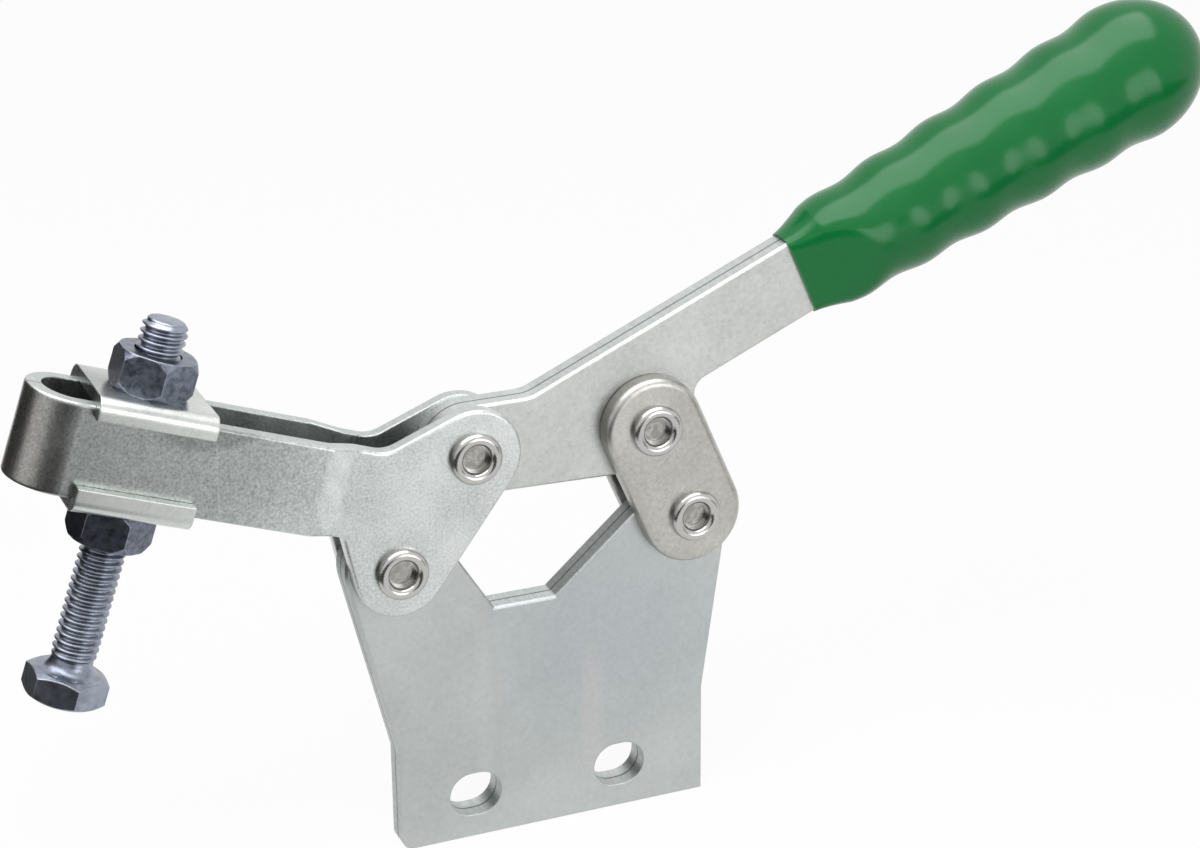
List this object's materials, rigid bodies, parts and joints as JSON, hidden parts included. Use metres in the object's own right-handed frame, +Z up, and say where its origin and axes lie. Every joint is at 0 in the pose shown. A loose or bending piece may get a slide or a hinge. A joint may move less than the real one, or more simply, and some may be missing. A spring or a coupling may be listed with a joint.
{
  "type": "toggle clamp",
  "caption": "Horizontal toggle clamp with an open bent arm, an upright slotted base, a hexagon spindle and a waved grip.",
  "frame": {"origin": "centre of the two mounting slots, on the joint face between the two base plates", "axes": "+Z up, away from the slots towards the pivots; +X from the spindle end towards the grip; the stack of sheets lies along Y, with Y = 0 its middle"},
  "size_m": [0.1675, 0.0196, 0.1052],
  "materials": {
    "zinc_plated_steel": "bright zinc plated pressed sheet steel",
    "link_steel": "tumbled warm grey plated steel",
    "rivet_steel": "polished rolled rivet ends",
    "hardened_bush": "ground hardened steel",
    "dark_zinc": "dark blue-grey plated screw steel",
    "green_grip": "glossy moulded green plastic"
  },
  "bodies": {
    "base": {"base_plate_front": "zinc_plated_steel", "base_plate_back": "zinc_plated_steel", "arm_pivot_bush": "hardened_bush", "link_pivot_bush": "hardened_bush"},
    "arm": {"clamping_arm": "zinc_plated_steel", "arm_pivot_rivet": "rivet_steel", "handle_pivot_rivet": "rivet_steel"},
    "handle": {"handle_plate_front": "zinc_plated_steel", "handle_plate_back": "zinc_plated_steel", "handle_pivot_bush": "hardened_bush", "grip": "green_grip"},
    "link": {"link_plate_front": "link_steel", "link_plate_back": "link_steel", "toggle_rivet": "rivet_steel", "link_pivot_rivet": "rivet_steel"},
    "carriage": {"flanged_washer_top": "zinc_plated_steel", "flanged_washer_bottom": "zinc_plated_steel", "upper_nut": "dark_zinc", "lower_nut": "dark_zinc"},
    "spindle": {"spindle": "dark_zinc"}
  },
  "joints": [
    {"name": "arm_hinge", "type": "hinge", "parent": "base", "child": "arm", "pos_m": [-0.02055, 0, 0.03545], "axis": [0, -1, 0], "range_deg": [-55, 19.25]},
    {"name": "handle_hinge", "type": "hinge", "parent": "arm", "child": "handle", "pos_m": [-0.0101, 0, 0.0497], "axis": [0, -1, 0], "range_deg": [-32, 91.4]},
    {"name": "link_hinge", "type": "hinge", "parent": "base", "child": "link", "pos_m": [0.02055, 0, 0.0366], "axis": [0, -1, 0], "range_deg": [-26.5, 9.3]},
    {"name": "spindle_position", "type": "slide", "parent": "arm", "child": "carriage", "axis": [0.9432, 0, -0.3322], "range_m": [-0.01, 0.014]},
    {"name": "spindle_height", "type": "slide", "parent": "carriage", "child": "spindle", "axis": [0.3322, 0, 0.9432], "range_m": [-0.004, 0.015]}
  ],
  "couplings": [
    {"joint": "handle_hinge", "follows": "arm_hinge", "ratio": -1.66},
    {"joint": "link_hinge", "follows": "arm_hinge", "ratio": 0.48}
  ]
}
